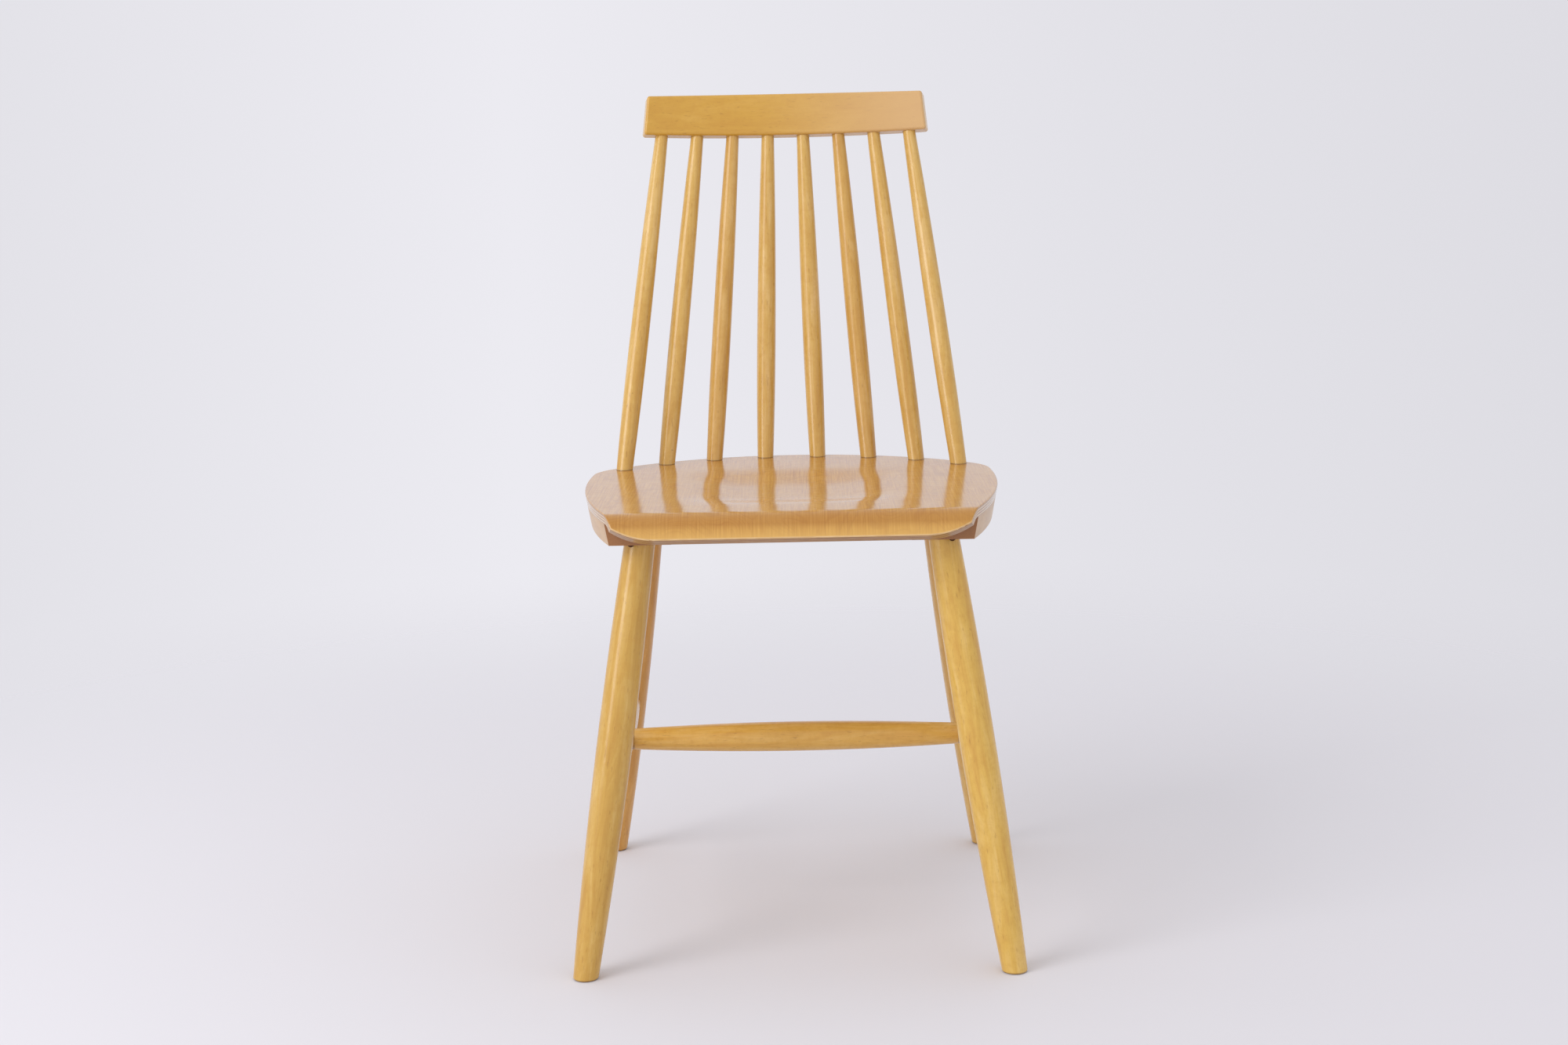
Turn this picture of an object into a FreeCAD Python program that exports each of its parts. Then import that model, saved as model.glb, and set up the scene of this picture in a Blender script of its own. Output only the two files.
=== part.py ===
import FreeCAD, Part
import math
import os
import Sketcher
from FreeCAD import Placement, Rotation, Vector

# A spindle-back side chair, at its real size in millimetres.
# The origin is on the floor, midway between the seat's front lip and the back of the crest rail.
# +Z is up and the chair faces -Y.
# Left is -X and right is +X, as seen from the front.

doc = FreeCAD.newDocument("windsor_chair")
sheet = doc.addObject("Spreadsheet::Sheet", "Sizes")

# Driving dimensions: name, value in mm or degrees, meaning
SIZES = [
    ("seat_height", 445, "floor to the flat rim of the seat"),
    ("seat_width", 413, "widest part of the seat"),
    ("seat_widest_y", -4, "where the seat is widest"),
    ("seat_side_radius", 695, "curve of the seat's side, in plan"),
    ("seat_back_y", 169, "back edge on the centre line"),
    ("seat_back_radius", 250, "curve of the back edge, in plan"),
    ("seat_back_corner_radius", 62, "between side and back edge"),
    ("seat_draft_angle", 10, "lean of the sawn edge, degrees"),
    ("seat_edge_radius", 1.2, "eased upper edge of the plywood"),
    ("ply_thickness", 10, "moulded plywood of the seat"),
    ("roll_start_y", -214, "where the front edge starts to roll down"),
    ("roll_inner_radius", 10, "inside radius of the roll"),
    ("roll_angle", 57, "turn of the roll, degrees"),
    ("lip_length", 15, "straight lip below the roll"),
    ("lip_corner_radius", 75, "lower corners of the lip, in its own plane"),
    ("lip_corner_inset", 81.5, "where those corners start, inside the widest line"),
    ("dish_depth", 7, "depth of the dish in the seat"),
    ("dish_side_inset", 41.5, "from the widest line in to where the dish runs out"),
    ("dish_back_inset", 65, "from the back edge to where the dish runs out"),
    ("dish_slope", 75, "width of the dish's sloping border"),
    ("bearer_thickness", 21, "battens under the seat"),
    ("side_bearer_width", 94.5, "side bearers, from the seat's widest line inward"),
    ("bearer_set_back", 5, "front end of the side bearers, behind the start of the roll"),
    ("rear_bearer_width", 50, "rear bearer, front to back"),
    ("front_foot_inset", 2.5, "centre of the front foot, inside the seat's widest line"),
    ("front_foot_ahead", 12, "centre of the front foot, in front of the start of the roll"),
    ("front_top_inset", 63.7, "front leg's axis under the bearer, inside the widest line"),
    ("front_top_behind", 35, "front leg's axis under the bearer, behind the start of the roll"),
    ("rear_foot_inset", 0.5, "centre of the rear foot, inside the seat's widest line"),
    ("rear_foot_behind", 19, "centre of the rear foot, behind the seat's back edge"),
    ("rear_top_inset", 59, "rear leg's axis under the bearer, inside the widest line"),
    ("rear_top_ahead", 85, "rear leg's axis under the bearer, in front of the back edge"),
    ("foot_edge_radius", 2, "rounding of a leg's edge at the floor"),
    ("leg_foot_diameter", 24, "leg at the floor"),
    ("leg_belly_diameter", 34, "leg at its thickest"),
    ("leg_top_diameter", 28.8, "leg under the bearer"),
    ("leg_belly_height", 240, "thickest place, along the leg"),
    ("leg_tenon_diameter", 20, "tenon in the bearer"),
    ("stretcher_height", 183, "axis of all three stretchers"),
    ("stretcher_end_diameter", 19.5, "stretchers at their ends"),
    ("side_stretcher_diameter", 27, "side stretcher in the middle"),
    ("cross_stretcher_diameter", 30, "cross stretcher in the middle"),
    ("stretcher_tenon_diameter", 14, "round tenons of the stretchers"),
    ("stretcher_tenon_reach", 3, "how far a tenon passes the axis it enters"),
    ("spindle_inset", 14, "spindle axes inside the back edge"),
    ("outer_spindle_inset", 31.74, "outer spindles' axes, inside the seat's widest line"),
    ("spindle_top_spacing", 38.1, "spindle axes at the crest rail"),
    ("spindle_base_diameter", 17, "spindle on the seat"),
    ("spindle_belly_diameter", 20, "spindle at its thickest"),
    ("spindle_top_diameter", 13.5, "spindle at the crest rail"),
    ("spindle_belly_height", 120, "thickest place, along the spindle"),
    ("spindle_tenon_diameter", 11, "tenons at both ends of a spindle"),
    ("spindle_foot_cover", 6, "bearer left under a spindle's tenon"),
    ("spindle_head_tenon", 20, "tenon in the crest rail"),
    ("rail_rise", 341, "from the seat up to the crest rail's bottom edge, in the middle"),
    ("rail_set_back", 51, "from the seat's back edge to the rail's mid-thickness there"),
    ("rail_lean_angle", 12.5, "lean of the crest rail, degrees"),
    ("rail_bow_radius", 800, "bow of the crest rail, in plan"),
    ("rail_thickness", 19, "front to back"),
    ("rail_height", 45, "in the middle, along its own slope"),
    ("rail_overhang", 19.65, "bottom corners, beyond the axes of the outer spindles"),
    ("rail_end_angle", 5.8, "lean of each end toward the middle, degrees"),
    ("rail_crown", 3, "how far the top edge rises in the middle"),
    ("rail_edge_radius", 3, "rounding of the rail's edges"),
    ("joint_clearance", 0.15, "round a tenon in its mortise"),
    ("socket_gap", 1, "beyond a tenon's end"),
    ("screw_shank_diameter", 3.5, "screws that hold the bearers"),
    ("screw_head_diameter", 7.2, "round head"),
    ("screw_head_height", 3.4, "round head"),
    ("screw_slot_width", 0.9, "driver slot"),
    ("screw_cover", 4, "plywood left above a screw's tip"),
    ("front_screw_inset", 56.5, "front screw, inside the seat's widest line"),
    ("front_screw_ahead", 20, "front screw, in front of the front leg"),
    ("middle_screw_inset", 46.5, "middle screw, inside the seat's widest line"),
    ("middle_screw_ahead", 138, "middle screw, in front of the rear leg"),
    ("back_screw_inset", 74.5, "back screw, inside the seat's widest line"),
    ("back_screw_ahead", 40, "back screw, in front of the rear leg"),
    ("rear_screw_offset", 55, "rear bearer's screws, from the centre line"),
    ("rear_screw_inset", 31, "rear bearer's screws, in front of the back edge"),
]
for row, (alias, value, meaning) in enumerate(SIZES, start=1):
    sheet.set(f"A{row}", alias)
    sheet.set(f"B{row}", str(value))
    sheet.set(f"C{row}", meaning)
    sheet.setAlias(f"B{row}", alias)
doc.recompute()

SPINDLES = 8
OVERSIZE = 15          # how far blanks run past the outline that trims them
SAW_ALLOWANCE = 8      # extra length of a turned blank before its end is cut to fit
DISH_SPANS = 20        # patches of the dished surface, each way

# Lengths that follow from the driving dimensions
HALF_SEAT = "(Sizes.seat_width / 2)"
ROLL_RADIUS = "(Sizes.roll_inner_radius + Sizes.ply_thickness)"
SEAT_STACK = "(Sizes.ply_thickness + Sizes.bearer_thickness)"
RAIL_WIDTH = f"({SPINDLES - 1} * Sizes.spindle_top_spacing + 2 * Sizes.rail_overhang)"
SCREW_LENGTH = f"({SEAT_STACK} - Sizes.screw_cover)"
LIP_TIP_Y = (
    f"(Sizes.roll_start_y - {ROLL_RADIUS} * sin(Sizes.roll_angle * 1 deg)"
    " - Sizes.lip_length * cos(Sizes.roll_angle * 1 deg))")


def size(alias):
    return float(sheet.get(alias))


def number(expression):
    """Value of a sheet expression, to draw a sketch where its constraints will hold it."""
    value = sheet.evalExpression(expression)
    return float(getattr(value, "Value", value))


def bind(obj, **expressions):
    for name, expression in expressions.items():
        obj.setExpression(name, expression)
    return obj


def box(label, length, width, height, x, y, z):
    """Part::Box whose sizes and corner are expressions of the sheet."""
    obj = doc.addObject("Part::Box", label)
    bind(obj, Length=length, Width=width, Height=height)
    obj.setExpression("Placement.Base.x", x)
    obj.setExpression("Placement.Base.y", y)
    obj.setExpression("Placement.Base.z", z)
    return obj


def boolean(kind, label, base, tool):
    """Part::Cut, Part::Common or Part::Fuse of two objects."""
    obj = doc.addObject("Part::" + kind, label)
    obj.Label = label
    obj.Base = base
    obj.Tool = tool
    if hasattr(obj, "Refine"):
        obj.Refine = kind == "Fuse"
    return obj


def group(label, members):
    obj = doc.addObject("Part::Compound", label)
    obj.Links = members
    return obj


def along(start, end, before=0.0):
    """Placement with +Z from start toward end, its origin that far before start."""
    direction = (end - start).normalize()
    return Placement(start - direction * before, Rotation(Vector(0, 0, 1), direction))


def rod(label, diameter, start, end, before, after):
    """Cylinder round the line from start to end, run on by those lengths at its two ends."""
    obj = doc.addObject("Part::Cylinder", label)
    bind(obj, Radius=f"({diameter}) / 2")
    obj.Height = (end - start).Length + before + after
    obj.Placement = along(start, end, before)
    return obj


# Sketch helpers

def plane(body, role):
    return next(item for item in body.Origin.OriginFeatures if item.Role == role)


def new_body(label):
    body = doc.addObject("PartDesign::Body", label)
    body.Label = label
    return body


def new_sketch(body, name, role, lift=0.0):
    sketch = body.newObject("Sketcher::SketchObject", name)
    sketch.AttachmentSupport = [(plane(body, role), "")]
    sketch.MapMode = "FlatFace"
    sketch.AttachmentOffset = Placement(Vector(0, 0, lift), Rotation())
    return sketch


def end_at(sketch, curve, point):
    """Whether the curve starts or ends at the point."""
    start = sketch.Geometry[curve].StartPoint
    return START if start.distanceToPoint(point) < 1e-6 else END


def draw_loop(sketch, curves, corners, tangent=()):
    """Closed loop: curve i runs from corner i to the next. Joints named in tangent stay smooth."""
    for curve in curves:
        sketch.addGeometry(curve, False)
    for i, corner in enumerate(corners):
        before = (i - 1) % len(curves)
        kind = "Tangent" if i in tangent else "Coincident"
        ends = (before, end_at(sketch, before, corner), i, end_at(sketch, i, corner))
        sketch.addConstraint(Sketcher.Constraint(kind, *ends))


def dimension(sketch, kind, references, name, expression):
    """Named constraint that follows the sheet."""
    index = sketch.addConstraint(Sketcher.Constraint(kind, *references, number(expression)))
    sketch.renameConstraint(index, name)
    sketch.setExpression("Constraints." + name, expression)


def segment(start, end):
    return Part.LineSegment(start, end)


def arc_about(centre, radius, first, last):
    """Arc of a circle from the first to the last angle, in radians, counter-clockwise."""
    return Part.ArcOfCircle(Part.Circle(centre, Vector(0, 0, 1), radius), first, last)


# Points of a sketch: its origin, and what an arc's centre is called
ORIGIN = (-1, 1)
START, END, CENTRE = range(1, 4)


# Turned pieces: legs, stretchers and spindles

class TurnedArc:
    """Arc that is parallel to the axis at the belly and passes through a given radius elsewhere."""

    def __init__(self, belly_radius, belly_at, other_radius, other_at):
        rise = belly_radius - other_radius
        reach = other_at - belly_at
        self.radius = (reach * reach + rise * rise) / (2 * rise)
        self.centre = Vector(belly_radius - self.radius, belly_at, 0)
        self.belly = Vector(belly_radius, belly_at, 0)

    def at(self, height):
        """Point of the arc at that height."""
        reach = height - self.centre.y
        across = math.copysign(math.sqrt(self.radius ** 2 - reach ** 2), self.radius)
        return Vector(self.centre.x + across, height, 0)

    def drawn_to(self, height):
        """The arc between the belly and that height, counter-clockwise."""
        belly_angle = 0 if self.radius > 0 else math.pi
        end = self.at(height) - self.centre
        end_angle = math.atan2(end.y, end.x)
        if self.radius < 0:
            end_angle = end_angle % (2 * math.pi)
        first, last = sorted((belly_angle, end_angle))
        return arc_about(self.centre, abs(self.radius), first, last)


def turned_radius(belly, other, reach):
    """Expression for a turned arc's radius, from two diameters and the length between them."""
    rise = f"(({belly}) - ({other})) / 2"
    return f"abs((({reach}) ^ 2 + ({rise}) ^ 2) / (2 * ({rise})))"


def turned_body(label, length, foot, belly, head, belly_at, allowance):
    """Turned blank about its own Z axis, longer than from 0 to length, to be cut back.

    The arguments are expressions: diameters at the foot, belly and head, and lengths.
    """
    body = new_body(label)
    sketch = new_sketch(body, label + "_profile", "XZ_Plane")
    foot_r, belly_r, head_r = (number(f"({text}) / 2") for text in (foot, belly, head))
    top = number(length)
    belly_z = number(belly_at)
    spare = number(allowance)
    lower = TurnedArc(belly_r, belly_z, foot_r, 0)
    upper = TurnedArc(belly_r, belly_z, head_r, top)
    corners = [
        Vector(0, -spare, 0),
        lower.at(-spare),
        lower.belly,
        upper.at(top + spare),
        Vector(0, top + spare, 0),
    ]
    curves = [
        segment(corners[0], corners[1]),
        lower.drawn_to(-spare),
        upper.drawn_to(top + spare),
        segment(corners[3], corners[4]),
        segment(corners[4], corners[0]),
    ]
    draw_loop(sketch, curves, corners)

    def at(curve, corner):
        return (curve, end_at(sketch, curve, corners[corner]))

    sketch.addConstraint(Sketcher.Constraint("Horizontal", 0))
    sketch.addConstraint(Sketcher.Constraint("Horizontal", 3))
    for curve, corner in ((0, 0), (3, 4)):
        sketch.addConstraint(Sketcher.Constraint("PointOnObject", *at(curve, corner), -2))
    for curve in (1, 2):
        sketch.addConstraint(Sketcher.Constraint("Horizontal", curve, CENTRE, *at(curve, 2)))
    foot_arc = turned_radius(belly, foot, belly_at)
    head_arc = turned_radius(belly, head, f"({length}) - ({belly_at})")
    dimension(sketch, "DistanceX", (*ORIGIN, *at(1, 2)), "belly_radius", f"({belly}) / 2")
    dimension(sketch, "DistanceY", (*ORIGIN, *at(1, 2)), "belly_height", belly_at)
    dimension(sketch, "Radius", (1,), "foot_arc", foot_arc)
    dimension(sketch, "Radius", (2,), "head_arc", head_arc)
    dimension(sketch, "DistanceY", (*at(0, 0), *ORIGIN), "foot_spare", allowance)
    dimension(sketch, "DistanceY", (*ORIGIN, *at(3, 4)), "head_end", f"({length}) + ({allowance})")
    turning = body.newObject("PartDesign::Revolution", label + "_turning")
    turning.Profile = sketch
    turning.ReferenceAxis = (sketch, ["V_Axis"])
    turning.Angle = 360
    return body


# The seat's outline, shared by the plywood and the bearers

def outline_sketch(body, name, z):
    """Plan outline at height z, which the sawn edge's draft makes smaller or larger."""
    grow = (z - size("seat_height")) * math.tan(math.radians(size("seat_draft_angle")))
    grown = f"({z - size('seat_height')} * tan(Sizes.seat_draft_angle))"
    half = number(HALF_SEAT) + grow
    side_r = size("seat_side_radius") + grow
    back_r = size("seat_back_radius") + grow
    rear_r = size("seat_back_corner_radius") + grow
    side = Vector(half - side_r, size("seat_widest_y"), 0)
    back = Vector(0, size("seat_back_y") - size("seat_back_radius"), 0)
    front_y = lip_tip_y() - OVERSIZE

    # the rear corner's centre is one inner radius from each of the two larger circles
    reach_side = side_r - rear_r
    reach_back = back_r - rear_r
    gap = back.sub(side)
    share = (reach_side ** 2 - reach_back ** 2 + gap.Length ** 2) / (2 * gap.Length)
    offset = math.sqrt(reach_side ** 2 - share ** 2)
    unit = gap.normalize()
    rear = side + unit * share + Vector(-unit.y, unit.x, 0) * offset

    def angle(origin, target):
        return math.atan2(target.y - origin.y, target.x - origin.x)

    low = math.asin((front_y - side.y) / side_r)
    high = angle(side, rear)
    turn = angle(back, rear)

    def on(centre, radius, direction):
        return centre + Vector(math.cos(direction), math.sin(direction), 0) * radius

    def mirrored(point):
        return Vector(-point.x, point.y, 0)

    right = [
        on(side, side_r, low),
        on(side, side_r, high),
        on(back, back_r, turn),
    ]
    corners = right + [mirrored(point) for point in reversed(right)]
    curves = [
        arc_about(side, side_r, low, high),
        arc_about(rear, rear_r, high, turn),
        arc_about(back, back_r, turn, math.pi - turn),
        arc_about(mirrored(rear), rear_r, math.pi - turn, math.pi - high),
        arc_about(mirrored(side), side_r, math.pi - high, math.pi - low),
        segment(corners[5], corners[0]),
    ]
    sketch = new_sketch(body, name, "XY_Plane", z)
    draw_loop(sketch, curves, corners, tangent=range(1, 5))
    dimension(sketch, "Radius", (0,), "side", "Sizes.seat_side_radius + " + grown)
    dimension(sketch, "Radius", (1,), "rear_corner", "Sizes.seat_back_corner_radius + " + grown)
    dimension(sketch, "Radius", (2,), "back", "Sizes.seat_back_radius + " + grown)
    for first, second in ((0, 4), (1, 3)):
        sketch.addConstraint(Sketcher.Constraint("Equal", first, second))
    inner = "Sizes.seat_side_radius - " + HALF_SEAT
    dimension(sketch, "DistanceX", (0, CENTRE, *ORIGIN), "right_centre", inner)
    dimension(sketch, "DistanceX", (*ORIGIN, 4, CENTRE), "left_centre", inner)
    dimension(sketch, "DistanceY", (*ORIGIN, 0, CENTRE), "right_widest", "Sizes.seat_widest_y")
    dimension(sketch, "DistanceY", (*ORIGIN, 4, CENTRE), "left_widest", "Sizes.seat_widest_y")
    sketch.addConstraint(Sketcher.Constraint("PointOnObject", 2, CENTRE, -2))
    depth = "Sizes.seat_back_radius - Sizes.seat_back_y"
    dimension(sketch, "DistanceY", (2, CENTRE, *ORIGIN), "back_centre", depth)
    sketch.addConstraint(Sketcher.Constraint("Horizontal", 5))
    ahead = f"-({LIP_TIP_Y}) + {OVERSIZE}"
    dimension(sketch, "DistanceY", (5, START, *ORIGIN), "front", ahead)
    return sketch


def lip_tip_y():
    """Y of the lip's lower outer edge."""
    return number(LIP_TIP_Y)


def seat_outline():
    """Block with the seat's outline and its leaning edge, taller than ply and bearers."""
    body = new_body("seat_outline")
    low_z = size("seat_height") - number(SEAT_STACK) - OVERSIZE
    low = outline_sketch(body, "outline_below", low_z)
    high = outline_sketch(body, "outline_above", size("seat_height") + OVERSIZE)
    block = body.newObject("PartDesign::AdditiveLoft", "outline_block")
    block.Profile = low
    block.Sections = [high]
    block.Ruled = True
    return body


# The moulded plywood

def dish_depth_at(x, y):
    """How far the dish lowers the control net there."""
    return size("dish_depth") * ramp_x(x) * ramp_y(y)


def smooth(share):
    share = min(max(share, 0.0), 1.0)
    return share * share * (3 - 2 * share)


def net(first, last):
    """Control positions that make a clamped cubic run evenly from first to last."""
    knots = [0] * 3 + list(range(DISH_SPANS + 1)) + [DISH_SPANS] * 3
    means = [sum(knots[i + 1:i + 4]) / 3 for i in range(DISH_SPANS + 3)]
    return [first + (last - first) * mean / DISH_SPANS for mean in means]


panel_half = number(HALF_SEAT) + 2 * OVERSIZE
panel_back = size("seat_back_y") + 2 * OVERSIZE
span_x = 2 * panel_half / DISH_SPANS
span_y = (panel_back - size("roll_start_y")) / DISH_SPANS


def ramp_x(x):
    side = number(HALF_SEAT) - size("dish_side_inset") - 2 * span_x - abs(x)
    return smooth(side / size("dish_slope"))


def ramp_y(y):
    front = y - (size("roll_start_y") + 2 * span_y)
    back = size("seat_back_y") - size("dish_back_inset") - 2 * span_y - y
    return smooth(min(front, back) / size("dish_slope"))


def dished_face(z):
    """Upper or lower face of the moulded sheet behind the roll, flat along its rim at height z."""
    xs = net(-panel_half, panel_half)
    ys = net(size("roll_start_y"), panel_back)
    poles = [[Vector(x, y, z - dish_depth_at(x, y)) for y in ys] for x in xs]
    ends = [4] + [1] * (DISH_SPANS - 1) + [4]
    steps = list(range(DISH_SPANS + 1))
    surface = Part.BSplineSurface()
    surface.buildFromPolesMultsKnots(poles, ends, ends, steps, steps, False, False, 3, 3)
    return surface.toShape()


def panel(label, face, rise):
    """Solid between a dished face and the same face moved up by that much."""
    obj = doc.addObject("Part::Feature", label)
    obj.Shape = face.extrude(Vector(0, 0, rise))
    return obj


def lip_body():
    """Roll and overlong lip, as one section drawn on the YZ plane and padded across the seat."""
    body = new_body("seat_lip")
    sketch = new_sketch(body, "lip_section", "YZ_Plane")
    turn = math.radians(size("roll_angle"))
    radius = number(ROLL_RADIUS)
    inner = size("roll_inner_radius")
    centre = Vector(size("roll_start_y"), size("seat_height") - radius, 0)
    outward = Vector(-math.sin(turn), math.cos(turn), 0)
    ahead = Vector(-math.cos(turn), -math.sin(turn), 0) * (size("lip_length") + OVERSIZE)
    up = Vector(0, 1, 0)
    corners = [
        centre + up * radius,
        centre + outward * radius,
        centre + outward * radius + ahead,
        centre + outward * inner + ahead,
        centre + outward * inner,
        centre + up * inner,
    ]
    quarter = math.pi / 2
    curves = [
        arc_about(centre, radius, quarter, quarter + turn),
        segment(corners[1], corners[2]),
        segment(corners[2], corners[3]),
        segment(corners[3], corners[4]),
        arc_about(centre, inner, quarter, quarter + turn),
        segment(corners[5], corners[0]),
    ]
    draw_loop(sketch, curves, corners, tangent=(1, 4))
    sketch.addConstraint(Sketcher.Constraint("Coincident", 0, CENTRE, 4, CENTRE))
    sketch.addConstraint(Sketcher.Constraint("Vertical", 5))
    sketch.addConstraint(Sketcher.Constraint("Perpendicular", 2, 1))
    dimension(sketch, "Radius", (0,), "outer_radius", ROLL_RADIUS)
    dimension(sketch, "Radius", (4,), "inner_radius", "Sizes.roll_inner_radius")
    dimension(sketch, "Distance", (1,), "lip", f"Sizes.lip_length + {OVERSIZE}")
    pad = body.newObject("PartDesign::Pad", "lip_across")
    pad.Profile = sketch
    pad.Midplane = True
    pad.setExpression("Length", f"Sizes.seat_width + {4 * OVERSIZE}")
    return body


def lip_trim():
    """What is sawn off the lip, square to it: all beyond its lower edge and rounded corners.

    Drawn in the plane of the lip's outer face, with Y down the lip from the end of the roll.
    """
    body = new_body("lip_trim")
    sketch = new_sketch(body, "lip_outline", "XY_Plane")
    length = size("lip_length")
    radius = size("lip_corner_radius")
    corner_x = "(" + HALF_SEAT + " - Sizes.lip_corner_inset)"
    start_x = number(corner_x)
    rise = radius - length
    side_x = start_x + math.sqrt(radius * radius - rise * rise)
    far = number(HALF_SEAT) + 2 * OVERSIZE
    deep = length + 2 * OVERSIZE
    corners = [
        Vector(-far, 0, 0),
        Vector(-side_x, 0, 0),
        Vector(-start_x, length, 0),
        Vector(start_x, length, 0),
        Vector(side_x, 0, 0),
        Vector(far, 0, 0),
        Vector(far, deep, 0),
        Vector(-far, deep, 0),
    ]
    quarter = math.pi / 2
    swing = math.acos(rise / radius)
    curves = [
        segment(corners[0], corners[1]),
        arc_about(Vector(-start_x, -rise, 0), radius, quarter, quarter + swing),
        segment(corners[2], corners[3]),
        arc_about(Vector(start_x, -rise, 0), radius, quarter - swing, quarter),
        segment(corners[4], corners[5]),
        segment(corners[5], corners[6]),
        segment(corners[6], corners[7]),
        segment(corners[7], corners[0]),
    ]
    draw_loop(sketch, curves, corners, tangent=(2, 3))
    for curve, kind in ((2, "Horizontal"), (5, "Vertical"), (6, "Horizontal"), (7, "Vertical")):
        sketch.addConstraint(Sketcher.Constraint(kind, curve))
    for curve, corner in ((0, 0), (1, 1), (3, 4), (4, 5)):
        point = (curve, end_at(sketch, curve, corners[corner]))
        sketch.addConstraint(Sketcher.Constraint("PointOnObject", *point, -1))
    sketch.addConstraint(Sketcher.Constraint("Equal", 1, 3))
    left_end = (2, end_at(sketch, 2, corners[2]))
    right_end = (2, end_at(sketch, 2, corners[3]))
    dimension(sketch, "Radius", (1,), "corner", "Sizes.lip_corner_radius")
    dimension(sketch, "DistanceX", (*left_end, *ORIGIN), "left_corner", corner_x)
    dimension(sketch, "DistanceX", (*ORIGIN, *right_end), "right_corner", corner_x)
    dimension(sketch, "DistanceY", (*ORIGIN, *right_end), "lip", "Sizes.lip_length")
    pad = body.newObject("PartDesign::Pad", "trim_depth")
    pad.Profile = sketch
    pad.Midplane = True
    pad.setExpression("Length", "4 * Sizes.ply_thickness")
    turn = math.radians(size("roll_angle"))
    roll_radius = number(ROLL_RADIUS)
    roll_end = Vector(
        0,
        size("roll_start_y") - roll_radius * math.sin(turn),
        size("seat_height") - roll_radius * (1 - math.cos(turn)))
    body.Placement = Placement(roll_end, Rotation(Vector(1, 0, 0), 180 + size("roll_angle")))
    return body


outline = seat_outline()
under_face_z = size("seat_height") - size("ply_thickness")
dished_panel = panel("dished_panel", dished_face(under_face_z), size("ply_thickness"))
above_ply = size("ply_thickness") + 2 * OVERSIZE
above_bearers = panel("above_bearers", dished_face(under_face_z), above_ply)
moulded_sheet = boolean("Fuse", "moulded_sheet", dished_panel, lip_body())
seat_sawn = boolean("Common", "seat_sawn", moulded_sheet, outline)


def normal_in_middle(face):
    first_u, last_u, first_v, last_v = face.ParameterRange
    return face.normalAt((first_u + last_u) / 2, (first_v + last_v) / 2)


def looks_up(face):
    return normal_in_middle(face).z > 0


def upper_edges(shape):
    """Numbers of the edges between a face that looks up and one that doesn't."""
    numbers = []
    for edge_number, edge in enumerate(shape.Edges, start=1):
        views = {looks_up(face) for face in shape.ancestorsOfType(edge, Part.Face)}
        if len(views) == 2:
            numbers.append(edge_number)
    return numbers


def lip_edges(shape):
    """Numbers of the edges between the lip's flat outer face and the faces sawn across the lip."""
    numbers = []
    for edge_number, edge in enumerate(shape.Edges, start=1):
        faces = shape.ancestorsOfType(edge, Part.Face)
        on_outer_face = any(looks_up(face) and isinstance(face.Surface, Part.Plane) for face in faces)
        if on_outer_face and min(normal_in_middle(face).z for face in faces) < -0.5:
            numbers.append(edge_number)
    return numbers


def floor_edges(shape):
    """Numbers of the edges that lie on the floor."""
    edges = enumerate(shape.Edges, start=1)
    return [edge_number for edge_number, edge in edges if edge.optimalBoundingBox().ZMax < 0.01]


def rounded(label, base, pick_edges, radius):
    """Part::Fillet of the base along the edges that pick_edges finds on it."""
    doc.recompute()
    obj = doc.addObject("Part::Fillet", label)
    obj.Base = base
    obj.Edges = [(edge_number, radius, radius) for edge_number in pick_edges(base.Shape)]
    return obj


seat_rimmed = rounded("seat_rimmed", seat_sawn, upper_edges, size("seat_edge_radius"))
lip_sawn = boolean("Cut", "lip_sawn", seat_rimmed, lip_trim())
seat_blank = rounded("seat_blank", lip_sawn, lip_edges, size("seat_edge_radius"))

# Bearers under the seat, before their mortises

bearer_z = f"Sizes.seat_height - {SEAT_STACK}"
bearer_bottom = number(bearer_z)
bearer_rise = f"{SEAT_STACK} + {OVERSIZE}"
bearer_inner_x = f"({HALF_SEAT} - Sizes.side_bearer_width)"
outer_x = f"({HALF_SEAT} + {OVERSIZE})"


def bearer_blank(label, length, width, x, y):
    """Batten sawn to the seat's outline and shaped to the underside of the plywood."""
    batten = box(label + "_batten", length, width, bearer_rise, x, y, bearer_z)
    shaped = boolean("Cut", label + "_shaped", batten, above_bearers)
    return boolean("Common", label + "_sawn", shaped, outline)


side_length = f"Sizes.side_bearer_width + {OVERSIZE}"
bearer_front_y = "(Sizes.roll_start_y + Sizes.bearer_set_back)"
side_width = f"Sizes.seat_back_y + {OVERSIZE} - {bearer_front_y}"
left_blank = bearer_blank(
    "left_bearer", side_length, side_width, "-" + outer_x, bearer_front_y)
right_blank = bearer_blank(
    "right_bearer", side_length, side_width, bearer_inner_x, bearer_front_y)
rear_blank = bearer_blank(
    "rear_bearer",
    "2 * " + bearer_inner_x,
    f"Sizes.rear_bearer_width + {OVERSIZE}",
    "-" + bearer_inner_x,
    "Sizes.seat_back_y - Sizes.rear_bearer_width",
)

# Crest rail, before its mortises


def rail_placement():
    """The rail's own frame: its bottom edge in the middle, leaning back."""
    lean = Rotation(Vector(1, 0, 0), -size("rail_lean_angle"))
    y = size("seat_back_y") + size("rail_set_back")
    z = size("seat_height") + size("rail_rise")
    return Placement(Vector(0, y, z), lean)


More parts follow.
